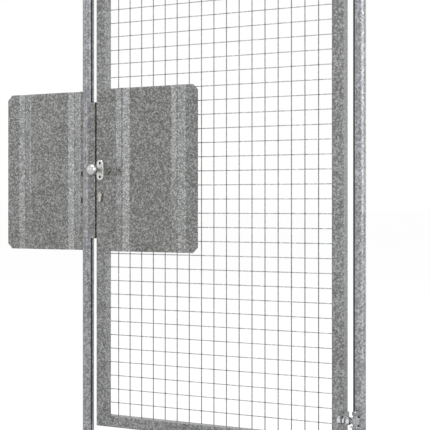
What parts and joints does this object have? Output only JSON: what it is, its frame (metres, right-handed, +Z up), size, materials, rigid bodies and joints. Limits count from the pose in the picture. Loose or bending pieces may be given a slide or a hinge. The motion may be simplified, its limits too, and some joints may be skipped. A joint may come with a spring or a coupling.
{
  "type": "temporary fence gate",
  "caption": "Galvanised walk-through gate for a temporary fence: mesh-filled square-tube leaf on eyebolt hinges between two round posts, with folded guard plates at the lock.",
  "frame": {"origin": "centre of the underside of the hinge post's foot plate, on the ground", "axes": "+X from the latch post to the hinge post, +Y to the inside of the fence, away from the side the leaf opens to, +Z up"},
  "size_m": [1.553, 0.1745, 2.09],
  "materials": {
    "post_steel": "hot-dip galvanised, satin",
    "leaf_steel": "hot-dip galvanised, spangled",
    "guard_sheet": "galvanised sheet, spangled",
    "mesh_wire": "galvanised wire",
    "hinge_steel": "galvanised",
    "stainless": "satin stainless",
    "cylinder_brass": "nickel-plated brass, satin",
    "black_plastic": "matt black"
  },
  "bodies": {
    "frame": {"hinge_post": "post_steel", "latch_post": "post_steel", "head_bar": "post_steel", "ground_sill": "post_steel", "hinge_post_foot": "post_steel", "latch_post_foot": "post_steel", "hinge_post_cap": "black_plastic", "latch_post_cap": "black_plastic", "upper_hinge_lugs": "hinge_steel", "upper_hinge_pin": "hinge_steel", "upper_hinge_washers": "hinge_steel", "lower_hinge_lugs": "hinge_steel", "lower_hinge_pin": "hinge_steel", "lower_hinge_washers": "hinge_steel", "keeper_channel": "guard_sheet", "post_guard_plate": "guard_sheet", "post_guard_tabs": "post_steel"},
    "leaf": {"lock_stile": "leaf_steel", "hinge_stile": "leaf_steel", "top_rail": "leaf_steel", "bottom_rail": "leaf_steel", "lower_mesh": "mesh_wire", "upper_mesh": "mesh_wire", "leaf_guard_plate": "guard_sheet", "lock_case": "stainless", "latch_bolt": "stainless", "dead_bolt": "stainless", "outer_rose": "stainless", "door_knob": "stainless", "lock_cylinder": "cylinder_brass", "inner_rose": "stainless", "inner_lever": "stainless", "upper_hinge_plate": "hinge_steel", "upper_eyebolt": "hinge_steel", "upper_hinge_nuts": "hinge_steel", "lower_hinge_plate": "hinge_steel", "lower_eyebolt": "hinge_steel", "lower_hinge_nuts": "hinge_steel"}
  },
  "joints": [
    {"name": "leaf_swing", "type": "hinge", "parent": "frame", "child": "leaf", "pos_m": [0, -0.036, 0.21], "axis": [0, 0, 1], "range_deg": [0, 170]}
  ]
}
